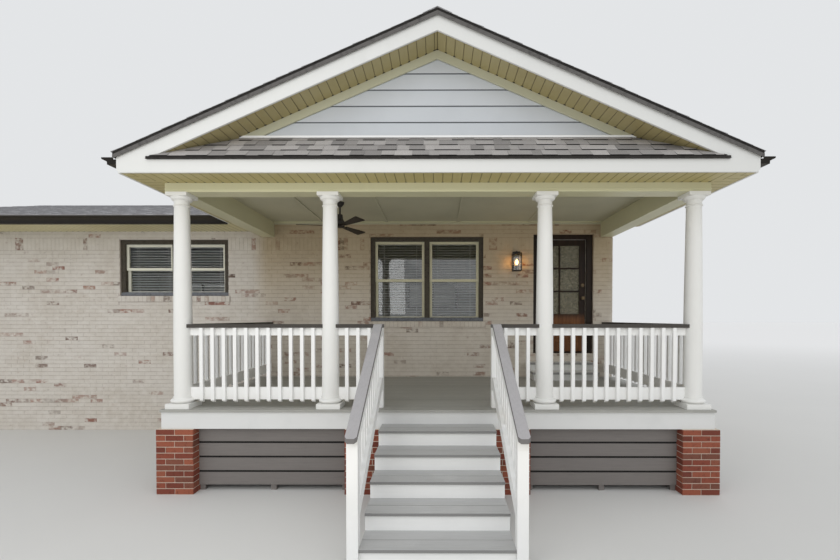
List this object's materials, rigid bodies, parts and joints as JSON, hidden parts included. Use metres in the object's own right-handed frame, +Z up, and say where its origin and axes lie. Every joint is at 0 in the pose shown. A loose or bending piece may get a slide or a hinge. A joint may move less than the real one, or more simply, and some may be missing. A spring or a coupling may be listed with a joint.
{
  "type": "single-storey bungalow with front porch",
  "caption": "Single-storey brick bungalow with low gabled roofs, a raised front porch on round columns, porch stair and railings, an opening front door and a turning porch fan.",
  "frame": {"origin": "on the ground, under the middle of the house's outline", "axes": "+X along the front to the right, +Y from the street front to the back, +Z up"},
  "size_m": [14.635, 14.185, 5.129],
  "materials": {
    "white_trim": "satin painted boards",
    "white_paint": "satin exterior paint on wood",
    "whitewashed_brick": "limewashed brick, matt",
    "floor_boards": "satin",
    "plaster": "matt",
    "shingles": "granular asphalt, matt",
    "cream_soffit": "satin",
    "porch_ceiling_paint": "satin paint",
    "siding": "satin paint on lap siding",
    "dark_metal": "satin dark bronze",
    "deck_boards": "grey deck paint, worn",
    "red_brick": "matt brick with pale joints",
    "skirt_boards": "dark stain",
    "dark_wood": "dark stain",
    "door_wood": "stained, satin",
    "glass": "clear",
    "brass": "aged",
    "dark_frame": "satin bronze",
    "cream_sash": "satin",
    "black_metal": "satin black",
    "fan_blade": "dark satin"
  },
  "bodies": {
    "house": {"front_wall": "whitewashed_brick", "front_wall_right": "whitewashed_brick", "front_wall_over_door": "whitewashed_brick", "left_wall": "whitewashed_brick", "right_wall": "whitewashed_brick", "rear_wall": "whitewashed_brick", "house_floor": "floor_boards", "house_ceiling": "plaster", "main_roof": "shingles", "main_fascia": "white_trim", "main_soffit": "cream_soffit", "porch_roof": "shingles", "porch_fascia": "white_trim", "porch_soffit": "cream_soffit", "gable_wall": "siding", "gable_trim": "white_trim", "pent_roof": "shingles", "gutters": "dark_metal", "front_beam": "white_trim", "side_beams": "white_trim", "porch_ceiling": "porch_ceiling_paint", "column_1": "white_trim", "column_2": "white_trim", "column_3": "white_trim", "column_4": "white_trim", "porch_deck": "deck_boards", "porch_frame": "white_paint", "brick_piers": "red_brick", "porch_skirts": "skirt_boards", "front_railings": "white_paint", "side_railings": "white_paint", "stair_treads": "deck_boards", "stair_frame": "white_paint", "stair_rails": "white_paint", "door_steps": "deck_boards", "door_frame": "dark_wood", "door_hinges": "brass", "window_frames": "dark_frame", "window_sashes": "cream_sash", "window_glass": "glass", "wall_lantern": "black_metal", "fan_mount": "dark_metal"},
    "front_door": {"door_leaf": "door_wood", "door_glass": "glass", "door_hardware": "brass"},
    "fan_rotor": {"fan_blades": "fan_blade"}
  },
  "joints": [
    {"name": "front_door_hinge", "type": "hinge", "parent": "house", "child": "front_door", "pos_m": [5.5615, -2.6875, 2.342], "axis": [0, 0, 1], "range_deg": [0, 90]},
    {"name": "fan_spin", "type": "hinge", "parent": "house", "child": "fan_rotor", "pos_m": [2.4445, -4.1405, 3.281], "axis": [0, 0, 1], "continuous": true}
  ]
}
